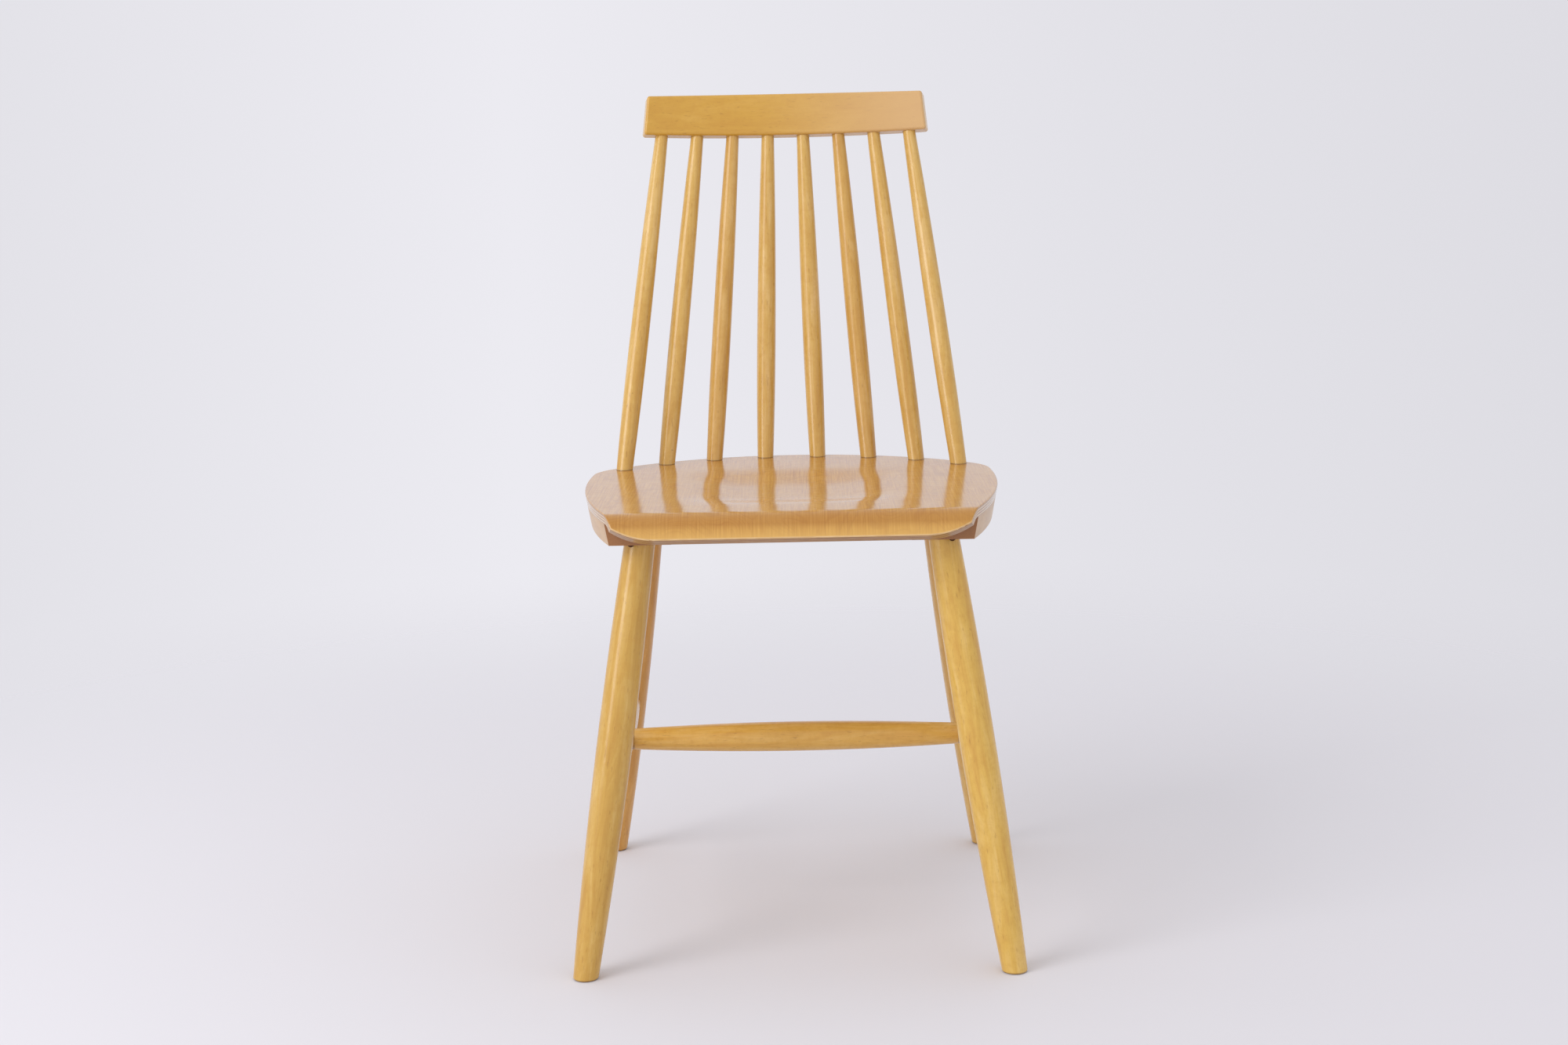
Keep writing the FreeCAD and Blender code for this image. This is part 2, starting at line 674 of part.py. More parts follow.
def rail_bow():
    """Curved board, bowed toward the front, longer and taller than the rail."""
    body = new_body("rail_bow")
    sketch = new_sketch(body, "bow_plan", "XY_Plane", -OVERSIZE)
    bow = size("rail_bow_radius")
    half_t = size("rail_thickness") / 2
    reach = math.asin((number(RAIL_WIDTH) / 2 + OVERSIZE) / bow)
    centre = Vector(0, -bow, 0)
    first = math.pi / 2 - reach
    last = math.pi / 2 + reach

    def on(radius, direction):
        return centre + Vector(math.cos(direction), math.sin(direction), 0) * radius

    corners = [
        on(bow + half_t, first),
        on(bow + half_t, last),
        on(bow - half_t, last),
        on(bow - half_t, first),
    ]
    curves = [
        arc_about(centre, bow + half_t, first, last),
        segment(corners[1], corners[2]),
        arc_about(centre, bow - half_t, first, last),
        segment(corners[3], corners[0]),
    ]
    draw_loop(sketch, curves, corners)
    sketch.addConstraint(Sketcher.Constraint("Coincident", 0, CENTRE, 2, CENTRE))
    sketch.addConstraint(Sketcher.Constraint("PointOnObject", 0, CENTRE, -2))
    half = "Sizes.rail_thickness / 2"
    dimension(sketch, "Radius", (0,), "back_radius", "Sizes.rail_bow_radius + " + half)
    dimension(sketch, "Radius", (2,), "front_radius", "Sizes.rail_bow_radius - " + half)
    dimension(sketch, "DistanceY", (0, CENTRE, *ORIGIN), "bow_centre", "Sizes.rail_bow_radius")
    pad = body.newObject("PartDesign::Pad", "bow_height")
    pad.Profile = sketch
    pad.setExpression("Length", f"Sizes.rail_height + {2 * OVERSIZE}")
    return body


def rail_face():
    """Front view of the rail: straight bottom edge, top edge that rises a little in the middle."""
    body = new_body("rail_face")
    sketch = new_sketch(body, "face_outline", "XZ_Plane")
    half = number(RAIL_WIDTH) / 2 + OVERSIZE
    top = size("rail_height")
    radius = crown_radius()
    centre = Vector(0, top - radius, 0)
    swing = math.asin(half / radius)
    shoulder = centre.y + radius * math.cos(swing)
    corners = [
        Vector(-half, 0, 0),
        Vector(half, 0, 0),
        Vector(half, shoulder, 0),
        Vector(-half, shoulder, 0),
    ]
    quarter = math.pi / 2
    curves = [
        segment(corners[0], corners[1]),
        segment(corners[1], corners[2]),
        arc_about(centre, radius, quarter - swing, quarter + swing),
        segment(corners[3], corners[0]),
    ]
    draw_loop(sketch, curves, corners)
    for curve, kind in ((0, "Horizontal"), (1, "Vertical"), (3, "Vertical")):
        sketch.addConstraint(Sketcher.Constraint(kind, curve))
    sketch.addConstraint(Sketcher.Constraint("PointOnObject", 2, CENTRE, -2))
    sketch.addConstraint(Sketcher.Constraint("PointOnObject", 0, 1, -1))
    half_width = f"{RAIL_WIDTH} / 2 + {OVERSIZE}"
    crown = f"(({RAIL_WIDTH} / 2) ^ 2 + Sizes.rail_crown ^ 2) / (2 * Sizes.rail_crown)"
    at_side = (1, end_at(sketch, 1, corners[1]))
    dimension(sketch, "DistanceX", (*ORIGIN, *at_side), "half", half_width)
    dimension(sketch, "Radius", (2,), "crown_radius", crown)
    below = crown + " - Sizes.rail_height"
    dimension(sketch, "DistanceY", (2, CENTRE, *ORIGIN), "crown_centre", below)
    pad = body.newObject("PartDesign::Pad", "face_depth")
    pad.Profile = sketch
    pad.Midplane = True
    pad.setExpression("Length", RAIL_WIDTH)
    return body


def crown_radius():
    half = number(RAIL_WIDTH) / 2
    crown = size("rail_crown")
    return (half * half + crown * crown) / (2 * crown)


def rail_end_cut(side):
    """Block that saws off one end, square to the bow and leaning toward the middle."""
    bow = size("rail_bow_radius")
    half = number(RAIL_WIDTH) / 2
    turn = math.degrees(math.asin(half / bow))
    corner = Vector(side * half, math.sqrt(bow * bow - half * half) - bow, 0)
    reach = size("rail_thickness") * 2
    block = doc.addObject("Part::Box", "rail_end_left" if side < 0 else "rail_end_right")
    block.Length = 2 * OVERSIZE
    block.Width = 2 * reach
    block.Height = size("rail_height") + 4 * OVERSIZE
    across = 0 if side > 0 else -2 * OVERSIZE
    square = Rotation(Vector(0, 0, 1), -side * turn)
    lean = Rotation(Vector(0, 1, 0), -side * size("rail_end_angle"))
    shift = Placement(Vector(across, -reach, -2 * OVERSIZE), Rotation())
    block.Placement = Placement(corner, square.multiply(lean)).multiply(shift)
    return block


rail_board = boolean("Common", "rail_board", rail_bow(), rail_face())
rail_ends = group("rail_ends", [rail_end_cut(-1), rail_end_cut(1)])
rail_sawn = boolean("Cut", "rail_sawn", rail_board, rail_ends)


def all_edges(shape):
    return range(1, len(shape.Edges) + 1)


rail_rounded = rounded("rail_rounded", rail_sawn, all_edges, size("rail_edge_radius"))
rail_rounded.Placement = rail_placement()

# Spindles

above_seat = box(
    "room_above_seat",
    "4 * Sizes.seat_width",
    "4 * Sizes.seat_width",
    "2 * Sizes.rail_rise",
    "-2 * Sizes.seat_width",
    "-2 * Sizes.seat_width",
    "Sizes.seat_height",
)


def spindle_foot(index):
    """Where a spindle's axis meets the seat: on an arc inside the back edge."""
    arc = size("seat_back_radius") - size("spindle_inset")
    centre_y = size("seat_back_y") - size("seat_back_radius")
    outermost = math.asin((number(HALF_SEAT) - size("outer_spindle_inset")) / arc)
    swing = outermost * (2 * index / (SPINDLES - 1) - 1)
    return Vector(arc * math.sin(swing), centre_y + arc * math.cos(swing), size("seat_height"))


def spindle_head(index):
    """Where a spindle's axis meets the rail's bottom edge, in the middle of its thickness."""
    x = size("spindle_top_spacing") * (index - (SPINDLES - 1) / 2)
    bow = size("rail_bow_radius")
    return rail_placement().multVec(Vector(x, math.sqrt(bow * bow - x * x) - bow, 0))


def make_spindle(index):
    """Turned spindle with a tenon at each end, and the mortise that fits both tenons."""
    label = f"spindle_{index + 1}"
    foot = spindle_foot(index)
    head = spindle_head(index)
    blank = turned_body(
        label + "_turned",
        str((head - foot).Length),
        "Sizes.spindle_base_diameter",
        "Sizes.spindle_belly_diameter",
        "Sizes.spindle_top_diameter",
        "Sizes.spindle_belly_height",
        str(SAW_ALLOWANCE),
    )
    blank.Placement = along(foot, head)
    on_seat = boolean("Common", label + "_on_seat", blank, above_seat)
    fitted = boolean("Cut", label + "_under_rail", on_seat, rail_rounded)
    foot_tenon = number(SEAT_STACK) - size("spindle_foot_cover")
    head_tenon = size("spindle_head_tenon")
    gap = size("socket_gap")
    tenons = rod(
        label + "_tenons", "Sizes.spindle_tenon_diameter", foot, head, foot_tenon, head_tenon)
    mortise = rod(
        label + "_mortise",
        "Sizes.spindle_tenon_diameter + 2 * Sizes.joint_clearance",
        foot, head, foot_tenon + gap, head_tenon + gap)
    return boolean("Fuse", label, fitted, tenons), mortise


spindles = []
spindle_mortises = []
for index in range(SPINDLES):
    spindle, mortise = make_spindle(index)
    spindles.append(spindle)
    spindle_mortises.append(mortise)
all_spindle_mortises = group("spindle_mortises", spindle_mortises)

# Legs

under_bearers = box(
    "room_under_bearers",
    "4 * Sizes.seat_width",
    "4 * Sizes.seat_width",
    bearer_z,
    "-2 * Sizes.seat_width",
    "-2 * Sizes.seat_width",
    "0",
)

FOOT_Y = {
    "front": size("roll_start_y") - size("front_foot_ahead"),
    "rear": size("seat_back_y") + size("rear_foot_behind"),
}
TOP_Y = {
    "front": size("roll_start_y") + size("front_top_behind"),
    "rear": size("seat_back_y") - size("rear_top_ahead"),
}


class Leg:
    """One turned, splayed leg: cut level at the floor and the bearer, with a tenon on top."""

    def __init__(self, end, side):
        self.label = f"{end}_{'left' if side < 0 else 'right'}_leg"
        foot_x = number(HALF_SEAT) - size(end + "_foot_inset")
        top_x = number(HALF_SEAT) - size(end + "_top_inset")
        self.foot = Vector(side * foot_x, FOOT_Y[end], 0)
        self.top = Vector(side * top_x, TOP_Y[end], bearer_bottom)
        blank = turned_body(
            self.label + "_turned",
            str((self.top - self.foot).Length),
            "Sizes.leg_foot_diameter",
            "Sizes.leg_belly_diameter",
            "Sizes.leg_top_diameter",
            "Sizes.leg_belly_height",
            str(2 * SAW_ALLOWANCE),
        )
        blank.Placement = along(self.foot, self.top)
        cut_level = boolean("Common", self.label + "_cut_level", blank, under_bearers)
        self.level = rounded(
            self.label + "_level", cut_level, floor_edges, size("foot_edge_radius"))
        reach = size("bearer_thickness") * 2
        start = self.top - (self.top - self.foot).normalize() * reach
        tenon = rod(self.label + "_tenon", "Sizes.leg_tenon_diameter", start, self.top, 0, reach)
        flush = boolean("Cut", self.label + "_flush_tenon", tenon, above_bearers)
        self.whole = boolean("Fuse", self.label + "_whole", self.level, flush)
        self.mortise = rod(
            self.label + "_mortise",
            "Sizes.leg_tenon_diameter + 2 * Sizes.joint_clearance",
            self.top, self.top + (self.top - self.foot).normalize() * reach, reach, 0)

    def at_height(self, z):
        return self.foot + (self.top - self.foot) * (z / self.top.z)


legs = {(end, side): Leg(end, side) for end in ("front", "rear") for side in (-1, 1)}

# Stretchers


def make_stretcher(label, belly, start, end, start_solid, end_solid):
    """Swelled stretcher scribed to the two pieces that it joins, and the mortise for its tenons."""
    blank = turned_body(
        label + "_turned",
        str((end - start).Length),
        "Sizes.stretcher_end_diameter",
        belly,
        "Sizes.stretcher_end_diameter",
        str((end - start).Length / 2),
        "Sizes.stretcher_tenon_reach / 2",
    )
    blank.Placement = along(start, end)
    half_fitted = boolean("Cut", label + "_first_end", blank, start_solid)
    fitted = boolean("Cut", label + "_second_end", half_fitted, end_solid)
    reach = size("stretcher_tenon_reach")
    tenons = rod(label + "_tenons", "Sizes.stretcher_tenon_diameter", start, end, reach, reach)
    deep = reach + size("socket_gap")
    mortise = rod(
        label + "_mortise",
        "Sizes.stretcher_tenon_diameter + 2 * Sizes.joint_clearance",
        start, end, deep, deep)
    return boolean("Fuse", label + "_whole", fitted, tenons), mortise


side_stretchers = {}
side_mortises = {}
for side in (-1, 1):
    name = "left_side_stretcher" if side < 0 else "right_side_stretcher"
    front_leg = legs["front", side]
    rear_leg = legs["rear", side]
    level = size("stretcher_height")
    side_stretchers[side], side_mortises[side] = make_stretcher(
        name, "Sizes.side_stretcher_diameter",
        front_leg.at_height(level), rear_leg.at_height(level), front_leg.level, rear_leg.level)


def side_middle(side):
    level = size("stretcher_height")
    return (legs["front", side].at_height(level) + legs["rear", side].at_height(level)) / 2


cross_stretcher, cross_mortise = make_stretcher(
    "cross_stretcher", "Sizes.cross_stretcher_diameter",
    side_middle(-1), side_middle(1), side_stretchers[-1], side_stretchers[1])

# Screws


def screw_body():
    """Round-head screw along +Z: its head hangs below z = 0 and its shank stands above."""
    body = new_body("screw")
    sketch = new_sketch(body, "screw_profile", "XZ_Plane")
    shank = size("screw_shank_diameter") / 2
    head = size("screw_head_diameter") / 2
    drop = size("screw_head_height")
    top = number(SCREW_LENGTH)
    dome = (head * head + drop * drop) / (2 * drop)
    centre = Vector(0, dome - drop, 0)
    corners = [
        Vector(0, -drop, 0),
        Vector(head, 0, 0),
        Vector(shank, 0, 0),
        Vector(shank, top - shank, 0),
        Vector(0, top, 0),
    ]
    curves = [
        arc_about(centre, dome, -math.pi / 2, math.atan2(-centre.y, head)),
        segment(corners[1], corners[2]),
        segment(corners[2], corners[3]),
        segment(corners[3], corners[4]),
        segment(corners[4], corners[0]),
    ]
    draw_loop(sketch, curves, corners)
    sketch.addConstraint(Sketcher.Constraint("PointOnObject", 0, CENTRE, -2))
    at_head = (1, end_at(sketch, 1, corners[1]))
    at_shank = (1, end_at(sketch, 1, corners[2]))
    head_radius = "Sizes.screw_head_diameter / 2"
    shank_radius = "Sizes.screw_shank_diameter / 2"
    dimension(sketch, "DistanceX", (*ORIGIN, *at_head), "head_radius", head_radius)
    dimension(sketch, "DistanceX", (*ORIGIN, *at_shank), "shank_radius", shank_radius)
    turning = body.newObject("PartDesign::Revolution", "screw_turning")
    turning.Profile = sketch
    turning.ReferenceAxis = (sketch, ["V_Axis"])
    turning.Angle = 360
    return body


def slot_block():
    return box(
        "driver_slot",
        "2 * Sizes.screw_head_diameter", "Sizes.screw_slot_width", "Sizes.screw_head_height",
        "-Sizes.screw_head_diameter", "-Sizes.screw_slot_width / 2",
        "-1.5 * Sizes.screw_head_height")


slotted_screw = boolean("Cut", "slotted_screw", screw_body(), slot_block())
doc.recompute()


def side_screw_places(side):
    """Where a side bearer's screws go: one in front of the front leg, two before the rear leg."""
    places = []
    for name, end in (("front_screw", "front"), ("middle_screw", "rear"), ("back_screw", "rear")):
        x = number(HALF_SEAT) - size(name + "_inset")
        places.append((side * x, TOP_Y[end] - size(name + "_ahead")))
    return places


rear_screw_y = size("seat_back_y") - size("rear_screw_inset")
SCREWS = {
    "left_bearer": side_screw_places(-1),
    "right_bearer": side_screw_places(1),
    "rear_bearer": [(side * size("rear_screw_offset"), rear_screw_y) for side in (-1, 1)],
}


def screw_group(bearer):
    """Screws of one bearer, as separate solids in one node."""
    copies = []
    for x, y in SCREWS[bearer]:
        copy = slotted_screw.Shape.copy()
        copy.translate(Vector(x, y, bearer_bottom))
        copies.append(copy)
    obj = doc.addObject("Part::Feature", bearer + "_screws")
    obj.Shape = Part.makeCompound(copies)
    return obj


def screw_holes(bearer):
    """Holes for one bearer's screws, through the bearer and into the plywood."""
    holes = []
    for order, (x, y) in enumerate(SCREWS[bearer], start=1):
        start = Vector(x, y, bearer_bottom)
        top = start + Vector(0, 0, number(SCREW_LENGTH))
        hole = rod(
            f"{bearer}_hole_{order}",
            "Sizes.screw_shank_diameter + 2 * Sizes.joint_clearance",
            start, top, size("socket_gap"), size("socket_gap"))
        holes.append(hole)
    return group(bearer + "_holes", holes)


# Final pieces

PIECES = {}


def finish(label, obj):
    obj.Label = label
    PIECES[label] = obj


holes = {bearer: screw_holes(bearer) for bearer in SCREWS}
seat_cuts = group("seat_cuts", [all_spindle_mortises] + list(holes.values()))
finish("seat_shell", boolean("Cut", "seat_shell", seat_blank, seat_cuts))
leg_mortises = group("leg_mortises", [leg.mortise for leg in legs.values()])
blanks = {"left_bearer": left_blank, "right_bearer": right_blank, "rear_bearer": rear_blank}
for bearer, blank in blanks.items():
    cuts = group(bearer + "_cuts", [all_spindle_mortises, leg_mortises, holes[bearer]])
    finish(bearer, boolean("Cut", bearer, blank, cuts))
    finish(bearer + "_screws", screw_group(bearer))
for (end, side), leg in legs.items():
    finish(leg.label, boolean("Cut", leg.label, leg.whole, side_mortises[side]))
for side, name in ((-1, "left_side_stretcher"), (1, "right_side_stretcher")):
    finish(name, boolean("Cut", name, side_stretchers[side], cross_mortise))
finish("cross_stretcher", cross_stretcher)
for index, spindle in enumerate(spindles):
    finish(f"spindle_{index + 1}", spindle)
finish("crest_rail", boolean("Cut", "crest_rail", rail_rounded, all_spindle_mortises))

doc.recompute()

for obj in doc.Objects:
    if "Invalid" in obj.State or "Error" in obj.State:
        raise RuntimeError(f"{obj.Label} failed: {obj.State}")
for label, obj in PIECES.items():
    if obj.Shape.isNull() or not obj.Shape.isValid():
        raise RuntimeError(f"{label} has no valid shape")

os.makedirs("parts", exist_ok=True)
for label, obj in PIECES.items():
    obj.Shape.exportStep(f"parts/{label}.step")
    bounds = obj.Shape.optimalBoundingBox()
    print(
        f"{label:24s} solids {len(obj.Shape.Solids)} volume {obj.Shape.Volume / 1000:8.1f} cm3"
        f" z {bounds.ZMin:6.1f} to {bounds.ZMax:6.1f}")
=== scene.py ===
import math

import bmesh
import bpy
from mathutils import Matrix, Vector


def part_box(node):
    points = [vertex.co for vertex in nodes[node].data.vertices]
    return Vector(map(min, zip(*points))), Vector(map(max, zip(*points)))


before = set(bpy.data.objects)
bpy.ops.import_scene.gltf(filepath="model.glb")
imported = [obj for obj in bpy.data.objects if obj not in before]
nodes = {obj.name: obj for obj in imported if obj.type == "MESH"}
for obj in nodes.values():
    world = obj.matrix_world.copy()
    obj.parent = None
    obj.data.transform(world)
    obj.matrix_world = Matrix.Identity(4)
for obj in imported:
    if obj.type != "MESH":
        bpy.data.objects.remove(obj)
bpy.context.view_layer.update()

# A spindle-back side chair in lacquered birch, with a seat of moulded plywood.
# Lengths are in metres, or in millimetres where they are followed by mm; +Z is up and the
# chair faces -Y. Left is -X, as seen from the front.

mm = 0.001

# Levels and lines of the chair that the finishes follow
SEAT_TOP = 445 * mm
BEARER_BOTTOM = 414 * mm
PLY = 10 * mm                              # thickness of the moulded plywood
PLY_LAYERS = 7
ROLL = Vector((0, -214, 425)) * mm         # a point of the line that the front edge rolls about
ROLL_RADIUS = 20 * mm
LIP_LENGTH = 15 * mm
LIP_DOWN = Vector((0, -0.5446, -0.8387))   # the way the straight lip runs
LIP_OUT = Vector((0, -0.8387, 0.5446))     # square to it, out of its face
CORNER_START = 125 * mm                    # where the lip's rounded lower corners start
CORNER_RADIUS = 75 * mm
SIDE_STRETCHER_FRONT = -187 * mm           # Y where the side stretchers enter the front legs
SIDE_STRETCHER_BACK = 123.5 * mm           # Y where they enter the rear legs
CROSS_STRETCHER_END = 166 * mm             # X where the cross stretcher enters them
FLOOR_RADIUS = 40


# Helpers for materials

def linear(hex_colour):
    """An sRGB colour such as #C89650, as linear RGBA."""
    channels = [int(hex_colour[i:i + 2], 16) / 255 for i in (1, 3, 5)]
    return [c / 12.92 if c <= 0.04045 else ((c + 0.055) / 1.055) ** 2.4 for c in channels] + [1.0]


def add_node(tree, kind, inputs=None, stops=None, **settings):
    """A node with its settings. An input takes a value, or another node's output to link.

    Stops are the positions and hex colours of a colour ramp.
    """
    node = tree.nodes.new(kind)
    for name, value in settings.items():
        setattr(node, name, value)
    for name, value in (inputs or {}).items():
        if isinstance(value, bpy.types.NodeSocket):
            tree.links.new(value, node.inputs[name])
        else:
            node.inputs[name].default_value = value
    if stops:
        elements = node.color_ramp.elements
        while len(elements) < len(stops):
            elements.new(0.5)
        for element, (position, colour) in zip(elements, stops):
            element.position = position
            element.color = linear(colour)
    return node


def new_material(name):
    """An empty node material and its node tree."""
    material = bpy.data.materials.new(name)
    material.use_nodes = True
    material.node_tree.nodes.clear()
    return material, material.node_tree


def give_finish(node_name, material):
    piece = nodes[node_name]
    piece.data.materials.clear()
    piece.data.materials.append(material)


# Where the grain runs

def grain_line(name):
    """From the middle of one end to the middle of the other, along the piece's longest side."""
    low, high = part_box(name)
    side = max(range(3), key=lambda i: high[i] - low[i])
    points = [v.co for v in nodes[name].data.vertices]
    starts = [p for p in points if p[side] < low[side] + 2 * mm]
    ends = [p for p in points if p[side] > high[side] - 2 * mm]
    return sum(starts, Vector()) / len(starts), sum(ends, Vector()) / len(ends)


def along_grain(tree, start, end):
    """Coordinates with their origin at start and their Z along the grain."""
    inward = (end - start).to_track_quat("Z", "Y").to_matrix().transposed()
    place = add_node(tree, "ShaderNodeTexCoord")
    turned = add_node(tree, "ShaderNodeMapping", {
        "Vector": place.outputs["Object"],
        "Location": -(inward @ start),
        "Rotation": inward.to_euler("XYZ")})
    return turned.outputs["Vector"]


# Birch under clear lacquer that has yellowed: honey gold, close and even, with faint long bands,
# a little cross mottling and short darker flecks, seen through a smooth, softly shining coat

def birch_colour(tree, place, seed, dark, middle, pale, band_mm=9):
    """Colour of birch whose grain runs along Z of the place, and the relief of its fibres."""
    shift = (0.37 * seed, 0.21 * seed, 0.53 * seed)
    drawn_out = add_node(tree, "ShaderNodeMapping", {
        "Vector": place, "Location": shift, "Scale": (1, 1, 1 / 32)})
    lengthened = add_node(tree, "ShaderNodeMapping", {
        "Vector": place, "Location": shift, "Scale": (1, 1, 1 / 9)})
    bands = add_node(tree, "ShaderNodeTexNoise", {
        "Vector": lengthened.outputs["Vector"], "Scale": 1 / (band_mm * mm),
        "Detail": 4.0, "Roughness": 0.6, "Distortion": 0.8})
    body = add_node(tree, "ShaderNodeValToRGB", {"Fac": bands.outputs["Fac"]},
                    stops=[(0.30, dark), (0.50, middle), (0.70, pale)])
    # birch fibre is about 0.02 mm wide, so it is drawn here as streaks 1 mm wide
    fibres = add_node(tree, "ShaderNodeTexNoise", {
        "Vector": drawn_out.outputs["Vector"], "Scale": 1 / (1.0 * mm),
        "Detail": 3.0, "Roughness": 0.6})
    fibre_shade = add_node(tree, "ShaderNodeMapRange", {
        "Value": fibres.outputs["Fac"], "From Min": 0.42, "From Max": 0.72,
        "To Min": 0.0, "To Max": 0.13}, interpolation_type="SMOOTHSTEP")
    fibred = add_node(tree, "ShaderNodeMix", {
        0: fibre_shade.outputs["Result"], 6: body.outputs["Color"], 7: linear("#B4802F")},
        data_type="RGBA")
    mottle = add_node(tree, "ShaderNodeTexNoise", {
        "Vector": place, "W": 1.7 * seed, "Scale": 1 / (9 * mm),
        "Detail": 4.0, "Roughness": 0.7, "Distortion": 0.5}, noise_dimensions="4D")
    mottle_shade = add_node(tree, "ShaderNodeMapRange", {
        "Value": mottle.outputs["Fac"], "From Min": 0.40, "From Max": 0.72,
        "To Min": 0.0, "To Max": 0.28}, interpolation_type="SMOOTHSTEP")
    mottled = add_node(tree, "ShaderNodeMix", {
        0: mottle_shade.outputs["Result"], 6: fibred.outputs[2], 7: linear("#BD8834")},
        data_type="RGBA")
    short = add_node(tree, "ShaderNodeMapping", {
        "Vector": place, "Location": shift, "Scale": (1, 1, 1 / 6)})
    flecks = add_node(tree, "ShaderNodeTexNoise", {
        "Vector": short.outputs["Vector"], "Scale": 1 / (1.5 * mm), "Detail": 1.0})
    fleck_shade = add_node(tree, "ShaderNodeMapRange", {
        "Value": flecks.outputs["Fac"], "From Min": 0.64, "From Max": 0.76,
        "To Min": 0.0, "To Max": 0.30}, interpolation_type="SMOOTHSTEP")
    flecked = add_node(tree, "ShaderNodeMix", {
        0: fleck_shade.outputs["Result"], 6: mottled.outputs[2], 7: linear("#8E5A24")},
        data_type="RGBA")
    return flecked.outputs[2], fibres.outputs["Fac"]


def handled(tree, place, seed, colour):
    """The colour with a few dark marks, 2 mm across, where the lacquer is chipped or dirty."""
    spots = add_node(tree, "ShaderNodeTexNoise", {
        "Vector": place, "W": 3.1 * seed, "Scale": 1 / (5 * mm), "Detail": 1.0},
        noise_dimensions="4D")
    shade = add_node(tree, "ShaderNodeMapRange", {
        "Value": spots.outputs["Fac"], "From Min": 0.775, "From Max": 0.82,
        "To Min": 0.0, "To Max": 0.55}, interpolation_type="SMOOTHSTEP")
    marked = add_node(tree, "ShaderNodeMix", {
        0: shade.outputs["Result"], 6: colour, 7: linear("#4E3A22")}, data_type="RGBA")
    return marked.outputs[2]


def seamed_and_shaded(tree, colour, seams):
    """Glue and dirt lines, and painted contact shade, where parts touch: (side of the box, level,
    half width).
    """
    place = add_node(tree, "ShaderNodeTexCoord")
    parts = add_node(tree, "ShaderNodeSeparateXYZ", {"Vector": place.outputs["Object"]})
    for side, level, half_width in seams:
        away = add_node(tree, "ShaderNodeMath", {
            0: parts.outputs[side], 1: level}, operation="SUBTRACT")
        distance = add_node(tree, "ShaderNodeMath", {0: away.outputs[0]}, operation="ABSOLUTE")
        # painted contact shade, with glue and dirt: darker toward each joint's level
        shade = add_node(tree, "ShaderNodeMapRange", {
            "Value": distance.outputs[0], "From Min": 0.0, "From Max": half_width,
            "To Min": 0.8, "To Max": 0.0}, interpolation_type="SMOOTHSTEP")
        darkened = add_node(tree, "ShaderNodeMix", {
            0: shade.outputs["Result"], 6: colour, 7: linear("#6A4320")}, data_type="RGBA")
        colour = darkened.outputs[2]
    return colour


def lacquer_over(tree, colour, relief, relief_mm, coat_roughness):
    """Wood body under a clear coat, which takes the shine: the wood itself hardly reflects."""
    bump = add_node(tree, "ShaderNodeBump", {
        "Height": relief, "Distance": relief_mm * mm, "Strength": 1.0})
    shader = add_node(tree, "ShaderNodeBsdfPrincipled", {
        "Base Color": colour, "Roughness": 0.55, "IOR": 1.5, "Specular IOR Level": 0.1,
        "Normal": bump.outputs["Normal"],
        "Coat Weight": 1.0, "Coat Roughness": coat_roughness, "Coat IOR": 1.5})
    add_node(tree, "ShaderNodeOutputMaterial", {"Surface": shader.outputs["BSDF"]})
    return shader


def turned_birch(name, seed, seams, dark, middle, pale):
    """Turned, sanded and lacquered birch: round pieces, whose shine is a soft streak."""
    material, tree = new_material("turned_birch_" + name)
    place = along_grain(tree, *grain_line(name))
    colour, fibres = birch_colour(tree, place, seed, dark, middle, pale)
    colour = handled(tree, place, seed, colour)
    lacquer_over(tree, seamed_and_shaded(tree, colour, seams), fibres, 0.02, 0.20)
    give_finish(name, material)


# dark lines at the floor, under the bearers and on the seat: glue and dirt, with painted contact
# shade
FLOOR_RIM = (2, 0.0, 2.5 * mm)
UNDER_BEARER = (2, BEARER_BOTTOM, 1.6 * mm)
ON_SEAT = (2, SEAT_TOP, 1.4 * mm)

turned_birch("front_left_leg", 1, [FLOOR_RIM, UNDER_BEARER], "#BE903E", "#CA9F4A", "#D4AE62")
turned_birch("front_right_leg", 2, [FLOOR_RIM, UNDER_BEARER], "#CE9E46", "#D9AF52", "#E0BA69")
turned_birch("rear_left_leg", 3, [FLOOR_RIM, UNDER_BEARER], "#C48A3E", "#CF9848", "#D8A65E")
turned_birch("rear_right_leg", 4, [FLOOR_RIM, UNDER_BEARER], "#CE9D4C", "#D9AD5A", "#E0B96E")
side_ends = [(1, SIDE_STRETCHER_FRONT, 2 * mm), (1, SIDE_STRETCHER_BACK, 2 * mm)]
for side, seed in (("left", 5), ("right", 6)):
    turned_birch(side + "_side_stretcher", seed, side_ends, "#CC984C", "#D6A85A", "#DEB46E")
cross_ends = [(0, -CROSS_STRETCHER_END, 2.5 * mm), (0, CROSS_STRETCHER_END, 2.5 * mm)]
turned_birch("cross_stretcher", 7, cross_ends, "#D09A46", "#DAA950", "#E1B566")
for number in range(1, 9):
    tones = ("#C69848", "#D1A858", "#DBB673") if number % 3 else ("#C19146", "#CCA052", "#D6AE6A")
    turned_birch(f"spindle_{number}", 10 + 2 * number, [ON_SEAT], *tones)
